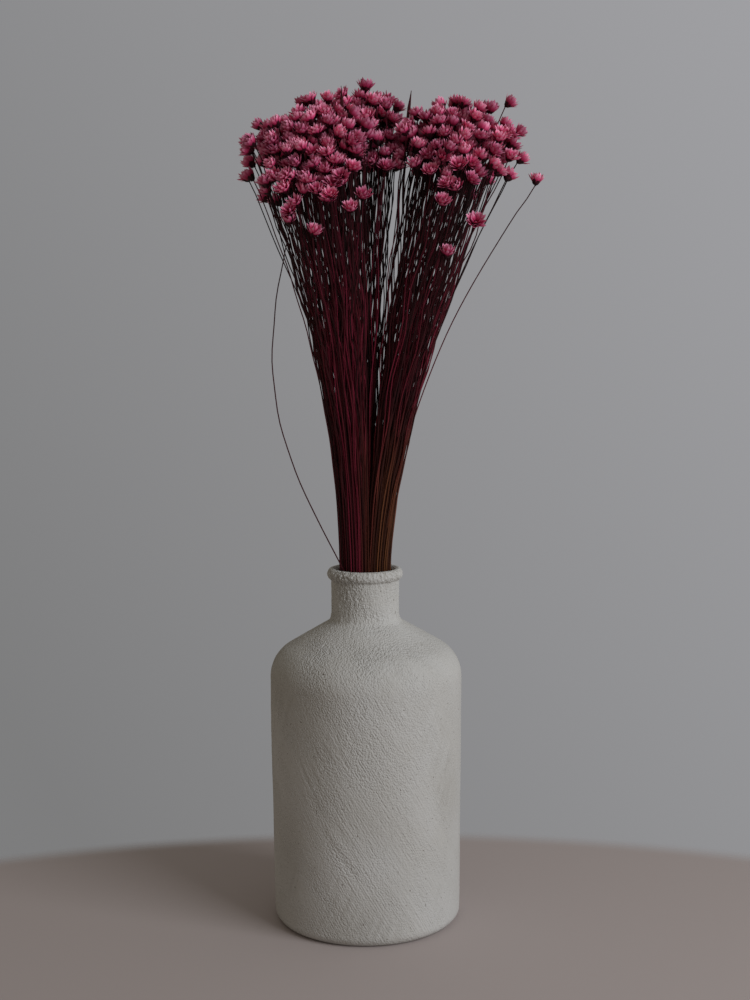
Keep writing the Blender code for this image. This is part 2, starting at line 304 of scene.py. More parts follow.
# Surroundings: they get lighter to the right and upwards; the camera sees the first pair of colours,
# and the second pair lights the object
SIDE_GAIN = 1.25
HEIGHT_GAIN = 0.8
SEEN_COLOURS = ((0.205, 0.205, 0.207), (0.352, 0.352, 0.368))
FILL_COLOURS = ((0.203, 0.180, 0.146), (0.262, 0.25, 0.238))

# Stage: a round floor, plain to this radius and faded out at its rim
STAGE_PLACE = (0.0, -0.62, 0.0)
STAGE_RADIUS = 0.757
STAGE_RIM = 0.787
STAGE_SIDES = 128
STAGE_COLOUR = (0.452, 0.392, 0.372, 1.0)


def fan_curve(heads):
    """How late the stem of each head flares; the outermost ones flare last."""
    return np.interp(heads[:, 0], FAN_SIDES, FAN_CURVES)


def fan(height, curve):
    """Share of its sideways reach that a stem has at a height."""
    return np.clip((height - FAN_START) / (CROWN_LEVEL - FAN_START), 0.0, None) ** curve


def stem_places(height, heads, slots, bows):
    """Where the stems are at one height: they fan out to their heads, with a bow in between."""
    curve = fan_curve(heads)
    share = fan(height, curve) / fan(heads[:, 2], curve)
    along = np.clip((height - FAN_START) / (heads[:, 2] - FAN_START), 0.0, 1.0)
    outwards = heads[:, :2] - slots
    bow = bows * np.sin(np.pi * along) / np.linalg.norm(outwards, axis=1)
    return slots + outwards * (share + bow)[:, None]


def head_axes(heads, slots, nods):
    """The way each head faces: on along its stem, and nodding outwards."""
    slope = (heads[:, :2] - slots) * (fan_curve(heads) / (heads[:, 2] - FAN_START))[:, None]
    along = np.column_stack((slope, np.ones(len(heads))))
    along /= np.linalg.norm(along, axis=1)[:, None]
    axes = along + np.column_stack((nods, np.zeros(len(heads))))
    return axes / np.linalg.norm(axes, axis=1)[:, None]


def clump_heads(rng):
    """Heads of the dense clumps, on slightly uneven domes, and how far each nods outwards."""
    heads = []
    nods = []
    for centre_x, centre_y, half_width, half_depth, top, rise, side_fall, front_fall, number in CLUMPS:
        for place in range(number):
            reach = ((place + 0.5) / number) ** CROWDING
            angle = place * GOLDEN_ANGLE + rng.uniform(-ANGLE_JITTER, ANGLE_JITTER)
            across = reach * math.cos(angle)
            along = reach * math.sin(angle)
            height = top + rise * across * half_width - side_fall * across ** 2 - front_fall * along ** 2
            height += rng.uniform(-HEIGHT_JITTER, HEIGHT_JITTER)
            heads.append((centre_x + across * half_width, centre_y + along * half_depth, height))
            nods.append((CLUMP_NOD * across, CLUMP_NOD * along))
    return np.array(heads), np.array(nods)


def neck_slots(number):
    """Places of the stems in the neck, in rings, with the place of the cut end and the tuft of each."""
    slots = []
    roots = []
    tufts = []
    tuft = 0
    ring = 1
    while len(slots) < number:
        count = min(RING_STEMS * ring, number - len(slots))
        runs = round(count / TUFT_SIZE)
        radius = ring * SLOT_STEP
        step = 2 * math.pi / count
        for place in range(count):
            run = place * runs // count
            members = [other for other in range(count) if other * runs // count == run]
            middle = (members[0] + members[-1]) / 2
            angle = place * step + RING_TWIST * ring
            root_angle = middle * step + RING_TWIST * ring + (place - middle) * ROOT_STEP / radius
            slots.append((radius * math.cos(angle), radius * math.sin(angle)))
            roots.append((radius * math.cos(root_angle), radius * math.sin(root_angle)))
            tufts.append(tuft + run)
        tuft += runs
        ring += 1
    return np.array(slots), np.array(roots), np.array(tufts)


def match_slots(slots, order, reach):
    """Swaps slots between stems until no two stems cross on the way up."""
    swapped = True
    while swapped:
        swapped = False
        for stem in range(len(order)):
            gain = -np.sum((slots[order[stem]] - slots[order]) * (reach[stem] - reach), axis=1)
            other = int(np.argmax(gain))
            if gain[other] > TINY:
                order[stem], order[other] = order[other], order[stem]
                swapped = True
    return order


def pushes(apart, least):
    """How far each pair of points that are nearer than they may be has to move, half each."""
    distance = np.linalg.norm(apart, axis=2) + TINY
    short = np.clip(least - distance, 0.0, None)
    np.fill_diagonal(short, 0.0)
    return 0.5 * apart * (short / distance)[:, :, None]


def spread(heads, slots, bows, nods, freedom, spacing):
    """Pushes apart heads that press on each other or on a stem that passes them."""
    for _ in range(SPREAD_STEPS):
        centre = heads + head_axes(heads, slots, nods) * HEAD_CENTRE
        push = np.sum(pushes(centre[:, None] - centre[None], spacing), axis=1)
        # the stem of column j at the level of the head of row i
        knee = stem_places(LEVELS[-1], heads, slots, bows)
        share = (centre[:, None, 2] - LEVELS[-1]) / (heads[None, :, 2] - LEVELS[-1])
        passing = knee[None] + (heads[None, :, :2] - knee[None]) * share[:, :, None]
        sideways = pushes(centre[:, None, :2] - passing, STEM_SPACING)
        sideways *= (share < 1.0)[:, :, None]
        push[:, :2] += np.sum(sideways, axis=1) - np.sum(sideways, axis=0)
        for level in LEVELS[1:]:
            places = stem_places(level, heads, slots, bows)
            push[:, :2] += np.sum(pushes(places[:, None] - places[None], STEM_GAP), axis=1)
        # heads keep clear of the parting between the two halves of the bunch
        parted = heads[:, 0] - PARTING
        push[:, 0] += np.sign(parted) * np.clip(PARTING_WIDTH - np.abs(parted), 0.0, None)
        heads = heads + np.clip(push, -MM, MM) * freedom[:, None]
    return heads


def lay_out():
    """Heads, facing axes, neck slots, cut ends, tufts and bows of all the stems."""
    rng = np.random.default_rng(SEED)
    lone = np.array(LONE_HEADS)
    heads, nods = clump_heads(rng)
    bows = np.concatenate((rng.normal(0.0, BOW_JITTER, len(heads)), lone[:, 3]))
    heads = np.concatenate((heads, lone[:, :3]))
    nods = np.concatenate((nods, lone[:, 4:])) + rng.normal(0.0, NOD_JITTER, (len(heads), 2))
    freedom = np.ones(len(heads))
    freedom[-len(lone):] = LONE_FREEDOM
    slots, roots, tufts = neck_slots(len(heads))
    order = rng.permutation(len(heads))
    for _ in range(SPREAD_ROUNDS):
        share = fan(heads[:, 2], fan_curve(heads))
        reach = slots[order] + (heads[:, :2] - slots[order]) / share[:, None]
        order = match_slots(slots, order, reach)
        heads = spread(heads, slots[order], bows, nods, freedom, HEAD_SPACING)
    axes = head_axes(heads, slots[order], nods)
    return heads, axes, slots[order], roots[order], tufts[order], bows


class Shape:
    """Vertices and faces that are gathered from many small forms into one mesh."""

    def __init__(self):
        self.points = []
        self.faces = []
        self.finishes = []
        self.values = {"tip": [], "tone": [], "brown": []}
        self.count = 0

    def add(self, points, faces, finish, tip, tone, brown=0.0):
        """Adds one form; tip runs from 0 at its foot to 1 at its tip, and tone is its own shade."""
        self.points.append(points)
        self.faces += [tuple(corner + self.count for corner in face) for face in faces]
        self.finishes += [finish] * len(faces)
        self.values["tip"].append(np.broadcast_to(tip, len(points)))
        self.values["tone"].append(np.full(len(points), tone))
        self.values["brown"].append(np.broadcast_to(brown, len(points)))
        self.count += len(points)

    def mesh(self, name, finishes):
        """The mesh of all the forms, with their values as attributes that the materials read."""
        made = bpy.data.meshes.new(name)
        made.from_pydata(np.concatenate(self.points).tolist(), [], self.faces)
        for finish in finishes:
            made.materials.append(finish)
        made.polygons.foreach_set("material_index", self.finishes)
        made.shade_smooth()
        made.set_sharp_from_angle(angle=CREASE)
        for key, parts in self.values.items():
            values = made.attributes.new(key, "FLOAT", "POINT")
            values.data.foreach_set("value", np.concatenate(parts).astype(np.float32))
        return made


def tube_faces(rings, sides):
    """Faces of a tube whose rings follow each other, closed by a face at both ends."""
    faces = []
    for ring in range(rings - 1):
        for side in range(sides):
            beside = (side + 1) % sides
            faces.append((ring * sides + side, ring * sides + beside,
                          (ring + 1) * sides + beside, (ring + 1) * sides + side))
    faces.append(tuple(reversed(range(sides))))
    faces.append(tuple(range((rings - 1) * sides, rings * sides)))
    return faces


def tube_points(path, radii, sides):
    """Rings of points round a path."""
    along = np.gradient(path, axis=0)
    along /= np.linalg.norm(along, axis=1)[:, None]
    across = np.cross(along, (0.0, 1.0, 0.0))
    across /= np.linalg.norm(across, axis=1)[:, None]
    beside = np.cross(along, across)
    angles = 2 * math.pi * np.arange(sides) / sides
    cosines = np.cos(angles)[None, :, None]
    sines = np.sin(angles)[None, :, None]
    ring = across[:, None] * cosines + beside[:, None] * sines
    return (path[:, None] + ring * np.asarray(radii)[:, None, None]).reshape(-1, 3)


def wire_paths(heads, axes, slots, bows, wavers, rng):
    """A fine path for each stem, from the rim of the vase to the foot of its head."""
    share = np.linspace(0.0, 1.0, WIRE_STEPS)
    phases = rng.uniform(0.0, 2 * math.pi, (len(heads), 4))
    turns = rng.uniform(*WAVER_TURNS, (len(heads), 2))
    levels = []
    for step in share:
        height = FAN_START + (heads[:, 2] - FAN_START) * step
        places = stem_places(height, heads, slots, bows)
        size = wavers * WAVER_GAIN * step ** WAVER_POWER * math.sqrt(1.0 - step)
        places[:, 0] += size * np.sin(phases[:, 0] + turns[:, 0] * 2 * math.pi * step)
        places[:, 1] += size * np.sin(phases[:, 1] + turns[:, 1] * 2 * math.pi * step)
        points = np.column_stack((places, height))
        below = np.clip(heads[:, 2] - height, 0.0, None)
        blend = np.clip(1.0 - below / BEND_LENGTH, 0.0, 1.0)[:, None] ** 2
        bent = heads - axes * below[:, None]
        levels.append(points + (bent - points) * blend)
    return np.stack(levels, axis=1)


def add_wire(shape, root, path, tone):
    """One stem: up the vase from its cut end, and on along its path."""
    steps = np.linspace(0.0, 1.0, NECK_STEPS, endpoint=False)[:, None]
    whole = np.concatenate((root + (path[0] - root) * steps, path))
    radii = np.linspace(WIRE_RADIUS, WIRE_TIP_RADIUS, len(whole))
    # share of the way up the stem, which the stem finish uses to paint shade below the head
    upwards = np.repeat(np.linspace(0.0, 1.0, len(whole)), WIRE_SIDES)
    points = tube_points(whole, radii, WIRE_SIDES)
    low = np.clip((BROWN_HEIGHT - points[:, 2]) / BROWN_SPAN, 0.0, 1.0)
    side = np.clip((path[0, 0] - BROWN_SIDE) / BROWN_WIDTH, 0.0, 1.0)
    shape.add(points, tube_faces(len(whole), WIRE_SIDES), STEM, upwards, tone, low * side)


def in_place(points, placing):
    """The points of a form, moved and turned to where its head is."""
    return points @ placing[:3, :3].T + placing[:3, 3]


def petal_faces(stations):
    """Faces of one petal: rings of three points that close in its tip."""
    faces = [(2, 1, 0)]
    for station in range(stations - 1):
        for side in range(3):
            beside = (side + 1) % 3
            faces.append((station * 3 + side, station * 3 + beside,
                          station * 3 + 3 + beside, station * 3 + 3 + side))
    last = (stations - 1) * 3
    faces += [(last + side, last + (side + 1) % 3, last + 3) for side in range(3)]
    return faces


def petal_half_width(along, width):
    """Half the width of a petal along its length: a narrow foot, widest near the middle, a pointed tip."""
    return 0.5 * width * (PETAL_FOOT + PETAL_FLARE * along) * (1.0 - along ** PETAL_TAPER)


def petal_points(along, radius, level, lean, half):
    """Three points at each station of a petal, with a keel along its middle, and its tip."""
    keel = PETAL_KEEL * (KEEL_LEAST + half)
    points = np.zeros((len(along) - 1, 3, 3))
    points[:, :, 0] = radius[:-1, None]
    points[:, :, 2] = level[:-1, None]
    points[:, 0, 1] = -half[:-1]
    points[:, 2, 1] = half[:-1]
    points[:, 1, 0] += (keel * np.cos(lean))[:-1]
    points[:, 1, 2] -= (keel * np.sin(lean))[:-1]
    return np.concatenate((points.reshape(-1, 3), ((radius[-1], 0.0, level[-1]),))) * MM


def add_whorl(shape, placing, whorl, stations, opening, finish, tone, rng):
    """A ring of pointed petals that stand on the cup; opening runs from 0, a bud, to 1, a star."""
    number, foot, height, length, width, steeper = whorl
    turn = rng.uniform(0.0, 2 * math.pi)
    faces = petal_faces(len(stations))
    along = np.array(stations + (1.0,))
    fine = np.linspace(0.0, 1.0, BEND_STEPS + 1)
    tip = np.append(np.repeat(stations, 3), 1.0)
    for petal in range(number):
        angle = turn + 2 * math.pi * (petal + rng.uniform(-PLACE_JITTER, PLACE_JITTER)) / number
        start = PETAL_START - FOOT_STEEPER * steeper + rng.uniform(-START_JITTER, START_JITTER)
        end = np.interp(opening, (0.0, 1.0), PETAL_END) - steeper + rng.uniform(-END_JITTER, END_JITTER)
        bend = np.radians(end + (start - end) * (1.0 - fine) ** 2)
        reach = length * rng.uniform(*PETAL_LENGTHS) / BEND_STEPS
        radius = foot + reach * np.interp(along, fine, np.cumsum(np.sin(bend)) - math.sin(bend[0]))
        level = height + reach * np.interp(along, fine, np.cumsum(np.cos(bend)) - math.cos(bend[0]))
        lean = np.interp(along, fine, bend)
        points = petal_points(along, radius, level, lean, petal_half_width(along, width))
        cosine = math.cos(angle)
        sine = math.sin(angle)
        turned = np.column_stack((points[:, 0] * cosine - points[:, 1] * sine,
                                  points[:, 0] * sine + points[:, 1] * cosine, points[:, 2]))
        shade = tone + rng.uniform(-TONE_JITTER, TONE_JITTER)
        shape.add(in_place(turned, placing), faces, finish, tip, shade)


def turned_heads(axes, rng):
    """The axes with every head turned a little its own way."""
    turned = axes + rng.normal(0.0, FACING_JITTER, axes.shape)
    return turned / np.linalg.norm(turned, axis=1)[:, None]


def add_cup(shape, placing, tone):
    """The dark cup under the petals, turned from its profile."""
    rings = []
    for radius, level in CUP_PROFILE:
        for side in range(CUP_SIDES):
            angle = 2 * math.pi * side / CUP_SIDES
            rings.append((radius * math.cos(angle), radius * math.sin(angle), level))
    points = np.array(rings) * MM
    tip = np.repeat(np.linspace(0.0, 0.5, len(CUP_PROFILE)), CUP_SIDES)
    faces = tube_faces(len(CUP_PROFILE), CUP_SIDES)
    shape.add(in_place(points, placing), faces, CUP, tip, tone)


def add_florets(shape, placing, tone, rng):
    """The knobbly middle: small pointed buds on a low dome."""
    ring = [(1, 0), (0, 1), (-1, 0), (0, -1)]
    faces = [(side, (side + 1) % 4, 4) for side in range(4)]
    faces += [((side + 1) % 4, side, 5) for side in range(4)]
    for floret in range(FLORETS):
        reach = DOME_RADIUS * math.sqrt((floret + 0.5) / FLORETS)
        angle = floret * GOLDEN_ANGLE
        size = FLORET_SIZE * rng.uniform(*FLORET_SIZES)
        level = DOME_TOP - DOME_FALL * reach ** 2
        base = np.array((reach * math.cos(angle), reach * math.sin(angle), level))
        points = [base + np.array((x * size, y * size, 0.0)) for x, y in ring]
        points += [base + np.array((0.0, 0.0, point * size)) for point in FLORET_POINTS]
        shape.add(in_place(np.array(points) * MM, placing), faces, PETAL, FLORET_TIP, tone)


def seeded_opening(rng):
    """How far a head has opened."""
    return np.clip(rng.normal(*OPENING), LEAST_OPENING, 1.0)


def add_head(shape, foot, axis, turn, size, opening, tone, rng):
    """One flower head at the end of a stem."""
    facing = Vector((0, 0, 1)).rotation_difference(Vector(axis)).to_matrix().to_4x4()
    turned = Matrix.Translation(Vector(foot)) @ facing @ Matrix.Rotation(turn, 4, "Z")
    placing = np.array(turned @ Matrix.Scale(size, 4))
    add_cup(shape, placing, tone)
    for whorl in SCALES:
        add_whorl(shape, placing, whorl, SCALE_STATIONS, opening, CUP, tone, rng)
    for whorl in WHORLS:
        add_whorl(shape, placing, whorl, PETAL_STATIONS, opening, PETAL, tone, rng)
    add_florets(shape, placing, tone, rng)


def extra_slots():
    """Places in the neck between the rings of the first stems."""
    slots = []
    for ring in EXTRA_RINGS:
        radius = (ring + 0.5) * SLOT_STEP
        count = RING_STEMS * ring + RING_STEMS // 2
        for place in range(count):
            angle = 2 * math.pi * place / count
            slots.append((radius * math.cos(angle), radius * math.sin(angle)))
    return np.array(slots)


def lay_out_extra(heads, slots, bows, rng):
    """Heads, axes, slots and bows of the stems that fill the gaps, which leave the first ones in place."""
    gaps = extra_slots()
    extra, nods = clump_heads(rng)
    chosen = rng.permutation(len(extra))[:len(gaps)]
    extra = extra[chosen]
    extra[:, 2] -= rng.uniform(*EXTRA_DROP, len(extra))
    share = fan(extra[:, 2], fan_curve(extra))
    reach = extra[:, :2] / share[:, None]
    order = match_slots(gaps, np.arange(len(gaps)), reach)
    every_slot = np.concatenate((gaps[order], slots))
    every_bow = np.concatenate((rng.normal(0.0, BOW_JITTER, len(extra)), bows))
    every_nod = np.concatenate((nods[chosen], np.zeros((len(heads), 2))))
    freedom = np.concatenate((np.ones(len(extra)), np.zeros(len(heads))))
    every_head = np.concatenate((extra, heads))
    placed = spread(every_head, every_slot, every_bow, every_nod, freedom, EXTRA_SPACING)
    axes = head_axes(placed, every_slot, every_nod)
    number = len(extra)
    return placed[:number], axes[:number], every_slot[:number], every_bow[:number]


def make_tufts(finishes):
    """The fine tufts, each in the place of its plain solid, and the stems that fill the gaps."""
    rng = np.random.default_rng(SEED + 1)
    fine = np.random.default_rng(SEED + 2)
    heads, axes, slots, roots, tufts, bows = lay_out()
    axes = turned_heads(axes, fine)
    wavers = np.full(len(heads), WAVER)
    wavers[-len(LONE_HEADS):] = LONE_WAVER
    paths = wire_paths(heads, axes, slots, bows, wavers, fine)
    for tuft in range(tufts.max() + 1):
        shape = Shape()
        for order, stem in enumerate(np.flatnonzero(tufts == tuft)):
            root_height = FLOOR + GAP + ROOT_STAGGER * rng.uniform() * (order > 0)
            turns = rng.uniform(*HEAD_TURNS, 2)
            size = rng.uniform(*HEAD_SIZES) * FULLER
            root = np.array((*roots[stem], root_height))
            add_wire(shape, root, paths[stem], fine.uniform())
            opening = seeded_opening(fine)
            add_head(shape, heads[stem], axes[stem], turns[1], size, opening, fine.uniform(), fine)
        name = f"glixia_tuft_{tuft + 1:02d}"
        piece = add_piece("fine_" + name, shape.mesh("fine_" + name, finishes))
        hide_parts(name)
    make_more_tufts(heads, slots, bows, finishes, fine)


def make_more_tufts(heads, slots, bows, finishes, rng):
    """The stems that fill the gaps between the first ones, in a few pieces."""
    heads, axes, slots, bows = lay_out_extra(heads, slots, bows, rng)
    axes = turned_heads(axes, rng)
    paths = wire_paths(heads, axes, slots, bows, np.full(len(heads), WAVER), rng)
    turned = np.argsort(np.arctan2(slots[:, 1], slots[:, 0]))
    for number, group in enumerate(np.array_split(turned, EXTRA_PIECES)):
        shape = Shape()
        for stem in group:
            root = np.array((*slots[stem], FLOOR + GAP + ROOT_STAGGER * rng.uniform()))
            add_wire(shape, root, paths[stem], rng.uniform())
            opening = seeded_opening(rng)
            size = rng.uniform(*HEAD_SIZES) * FULLER
            turn = rng.uniform(*HEAD_TURNS)
            add_head(shape, heads[stem], axes[stem], turn, size, opening, rng.uniform(), rng)
        name = f"more_glixia_{number + 1}"
        add_piece(name, shape.mesh(name, finishes))


def make_spikes(finishes):
    """Bare dry stems whose heads are gone; their points stand up out of the crown."""
    shape = Shape()
    upright = np.array(((0.0, 0.0, 1.0),))
    for across, deep, tip in SPIKES:
        rng = np.random.default_rng(SEED)
        top = np.array(((across, deep, tip),))
        slot = np.array(((across, deep),)) * SPIKE_SPREAD
        path = wire_paths(top, upright, slot, np.zeros(1), np.full(1, LONE_WAVER), rng)[0]
        radii = np.full(len(path), WIRE_TIP_RADIUS)
        radii[-len(SPIKE_RADII):] = SPIKE_RADII
        points = tube_points(path, radii, WIRE_SIDES)
        shape.add(points, tube_faces(len(path), WIRE_SIDES), STEM, 0.0, SPIKE_TONE)
    add_piece("bare_spikes", shape.mesh("bare_spikes", finishes))


def add_piece(name, mesh):
    """Adds a mesh as a piece of the object, on the one body."""
    piece = bpy.data.objects.new(name, mesh)
    bpy.context.scene.collection.objects.link(piece)
    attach(piece, "root")
    return piece


def arc(centre_radius, centre_height, across, up, start, end, steps):
    """Points of a round profile stretch, from one angle to another, in degrees."""
    points = []
    for step in range(steps + 1):
        angle = math.radians(start + (end - start) * step / steps)
        points.append((centre_radius + across * math.cos(angle), centre_height + up * math.sin(angle)))
    return points


def vase_profile():
    """Radius and height of the inside, from the floor to the neck, and of the outside in fine rows."""
    slope = math.degrees(SHOULDER_SLOPE)
    shoulder_centre = BODY_RADIUS - SHOULDER_ROUND
    inner_round = SHOULDER_ROUND - WALL
    arc_end = shoulder_centre + SHOULDER_ROUND * math.sin(SHOULDER_SLOPE)
    arc_top = SHOULDER_START + SHOULDER_ROUND * math.cos(SHOULDER_SLOPE)
    neck_foot = arc_top + (arc_end - NECK_RADIUS) * math.tan(SHOULDER_SLOPE)
    bore_foot = neck_foot + (NECK_RADIUS - NECK_BORE) * math.tan(SHOULDER_SLOPE)
    bore_foot -= WALL / math.cos(SHOULDER_SLOPE)
    lip_half = (LIP_RADIUS - MOUTH_RADIUS) / 2
    lip_centre = MOUTH_RADIUS + lip_half
    lip_middle = VASE_HEIGHT - LIP_HEIGHT / 2
    lip_foot = -math.degrees(math.acos((NECK_RADIUS - lip_centre) / lip_half))
    inside = [(0.0, FLOOR), (FOOT_RADIUS - FOOT_ROUND, FLOOR)]
    inside.append((FOOT_RADIUS - WALL, FLOOR + FOOT_ROUND - WALL))
    inside += arc(shoulder_centre, SHOULDER_START, inner_round, inner_round, 0, 90 - slope, INNER_STEPS)
    inside += [(NECK_BORE, bore_foot), (NECK_BORE, VASE_HEIGHT - LIP_HEIGHT)]
    outside = arc(lip_centre, lip_middle, lip_half, LIP_HEIGHT / 2, 180, lip_foot, LIP_STEPS)
    outside.append((NECK_RADIUS, neck_foot + 2 * NECK_FILLET))
    outside.append((NECK_RADIUS + 0.3 * NECK_FILLET, neck_foot + 0.5 * NECK_FILLET))
    outside.append((NECK_RADIUS + NECK_FILLET, neck_foot - NECK_FILLET / 2))
    outside += arc(
        shoulder_centre, SHOULDER_START, SHOULDER_ROUND, SHOULDER_ROUND, 90 - slope, 0, SHOULDER_STEPS)
    outside += arc(FOOT_RADIUS - FOOT_ROUND, FOOT_ROUND, FOOT_ROUND, FOOT_ROUND, 0, -90, FOOT_STEPS)
    return inside, fine_rows(outside)


def fine_rows(profile):
    """The profile with points added, so that none are much further apart than a row of the grid."""
    rows = [profile[0]]
    for (radius, height), (next_radius, next_height) in zip(profile, profile[1:]):
        length = math.hypot(next_radius - radius, next_height - height)
        steps = max(1, round(length / VASE_ROW))
        for step in range(1, steps + 1):
            share = step / steps
            rows.append((radius + (next_radius - radius) * share, height + (next_height - height) * share))
    return rows


def swept_place(angle, radius, height, lean):
    """A place on the vase, turned as if the strokes that lean by this much stood upright."""
    swept = angle + height * lean / BODY_RADIUS
    return math.cos(swept) * radius, math.sin(swept) * radius, height


def cloud(place, across, upright, offset=0.0):
    """Smooth noise from -1 to 1 with features of these sizes; the offset picks a stretch of its own."""
    x, y, z = place
    return noise.noise((x / across + offset, y / across, z / upright))


def step_up(value, low, high):
    """A smooth step from 0 up to 1 between two values."""
    share = min(1.0, max(0.0, (value - low) / (high - low)))
    return share * share * (3 - 2 * share)


def roughness(angle, radius, height):
    """How rough the plaster is; it has gritty and smooth patches, and one side is the rougher one."""
    place = swept_place(angle, radius, height, STROKE_LEANS[0])
    patch = step_up(cloud(place, *PATCH_SIZE, 11.0), *PATCH_EDGE)
    side = ROUGH_MEAN + ROUGH_SWING * math.cos(angle - ROUGH_SIDE)
    top = 1.0 + TOP_ROUGHNESS * step_up(height, SHOULDER_START - TOP_BLEND, SHOULDER_TOP)
    return side * (PATCH_LEAST + PATCH_RANGE * patch) * top


def plaster_relief(angle, radius, height):
    """How far the plaster stands out at a place on the vase: brush strokes, grit and slow swells."""
    upright = swept_place(angle, radius, height, 0.0)
    right = cloud(swept_place(angle, radius, height, STROKE_LEANS[0]), *STROKE_SIZE)
    left = cloud(swept_place(angle, radius, height, STROKE_LEANS[1]), *STROKE_SIZE, 5.0)
    side = step_up(cloud(upright, *AREA_SIZE, 3.0), *AREA_EDGE)
    strength = step_up(cloud(upright, *STROKE_PATCH, 9.0), *STROKE_EDGE)
    grit = cloud(upright, GRIT_SIZE, GRIT_SIZE) + 0.5 * cloud(upright, GRIT_SIZE / 2, GRIT_SIZE / 2, 2.0)
    swell = cloud(upright, *SWELL_SIZE, 7.0)
    lip_start = VASE_HEIGHT - LIP_HEIGHT
    rough = 1.0 + TOP_ROUGHER * step_up(height, SHOULDER_START, SHOULDER_TOP)
    rough += LIP_ROUGHER * step_up(height, lip_start - LIP_BLEND, lip_start)
    strokes = (left + (right - left) * side) * (FAINTEST_STROKES + (1.0 - FAINTEST_STROKES) * strength)
    fine = STROKE_RELIEF * strokes + GRIT_RELIEF * rough * grit * roughness(angle, radius, height)
    return fine + SWELL_RELIEF * swell


def grid_faces(rows):
    """Faces of a turned grid from row to row, and one face that closes its last row."""
    faces = []
    for row in range(rows - 1):
        for column in range(VASE_COLUMNS):
            beside = (column + 1) % VASE_COLUMNS
            faces.append((row * VASE_COLUMNS + column, (row + 1) * VASE_COLUMNS + column,
                          (row + 1) * VASE_COLUMNS + beside, row * VASE_COLUMNS + beside))
    faces.append(tuple(range((rows - 1) * VASE_COLUMNS, rows * VASE_COLUMNS)))
    return faces


def make_vase(finish):
    """The plaster-coated bottle: a turned grid whose outer side carries the relief."""
    inside, outside = vase_profile()
    rows = inside + outside
    points = []
    reliefs = []
    swept = []
    roughs = []
    for row, (radius, height) in enumerate(rows):
        shown = min(1.0, max(0, row - len(inside)) / FADE_ROWS) * min(1.0, height / FOOT_FADE)
        for column in range(VASE_COLUMNS):
            angle = 2 * math.pi * column / VASE_COLUMNS
            relief = plaster_relief(angle, radius, height) * shown if shown > 0 else 0.0
            points.append(((radius + relief) * math.cos(angle), (radius + relief) * math.sin(angle), height))
            # the relief is also kept for the plaster colour, which paints shade into its hollows
            reliefs.append(relief / MM)
            swept += swept_place(angle, radius, height, STROKE_LEANS[0])
            roughs.append(roughness(angle, radius, height))
    mesh = bpy.data.meshes.new("plaster_vase")
    mesh.from_pydata(points, [], grid_faces(len(rows)))
    mesh.materials.append(finish)
    mesh.shade_smooth()
    for name, kind, key, values in (
        ("relief", "FLOAT", "value", reliefs),
        ("rough", "FLOAT", "value", roughs),
        ("swept", "FLOAT_VECTOR", "vector", swept),
    ):
        mesh.attributes.new(name, kind, "POINT").data.foreach_set(key, values)
    piece = add_piece("plaster_vase", mesh)
    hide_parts("vase")


def new_material(name, dullness, shine):
    """A new material of a certain dullness and shine, with its node tree and its shader."""
    made = bpy.data.materials.new(name)
    made.use_nodes = True
    shader = made.node_tree.nodes["Principled BSDF"]
    shader.inputs["Roughness"].default_value = dullness
    shader.inputs["Specular IOR Level"].default_value = shine
    return made, made.node_tree, shader


def ramp(tree, source, stops):
    """A colour ramp over a value; stops are places and linear colours."""
    node = tree.nodes.new("ShaderNodeValToRGB")
    while len(node.color_ramp.elements) < len(stops):
        node.color_ramp.elements.new(0.5)
    for element, (place, colour) in zip(node.color_ramp.elements, stops):
        element.position = place
        element.color = (*colour, 1.0)
    tree.links.new(source, node.inputs["Fac"])
    return node.outputs["Color"]


def attribute(tree, name, kind="Fac"):
    """A value that the mesh holds at its points."""
    node = tree.nodes.new("ShaderNodeAttribute")
    node.attribute_name = name
    return node.outputs[kind]


def grain(tree, scale, detail, stretch=(1.0, 1.0, 1.0), place=None):
    """Noise in features per metre, over the object's own coordinates unless it is given others."""
    place = place or tree.nodes.new("ShaderNodeTexCoord").outputs["Object"]
    mapping = tree.nodes.new("ShaderNodeMapping")
    mapping.inputs["Scale"].default_value = stretch
    texture = tree.nodes.new("ShaderNodeTexNoise")
    texture.inputs["Scale"].default_value = scale
    texture.inputs["Detail"].default_value = detail
    tree.links.new(place, mapping.inputs["Vector"])
    tree.links.new(mapping.outputs["Vector"], texture.inputs["Vector"])
    return texture.outputs["Fac"]


def feed(tree, socket, value):
    """Gives a socket the output of another node, or a constant."""
    if isinstance(value, bpy.types.NodeSocket):
        tree.links.new(value, socket)
    else:
        socket.default_value = value


def mixed(tree, kind, share, first, second):
    """Two colours mixed, or multiplied, by a share."""
    node = tree.nodes.new("ShaderNodeMix")
    node.data_type = "RGBA"
    node.blend_type = kind
    feed(tree, node.inputs["Factor"], share)
    feed(tree, node.inputs["A"], first)
    feed(tree, node.inputs["B"], second)
    return node.outputs["Result"]


def calculated(tree, operation, *values):
    """The result of one operation on constants or the outputs of other nodes."""
    node = tree.nodes.new("ShaderNodeMath")
    node.operation = operation
    for socket, value in zip(node.inputs, values):
        feed(tree, socket, value)
    return node.outputs["Value"]


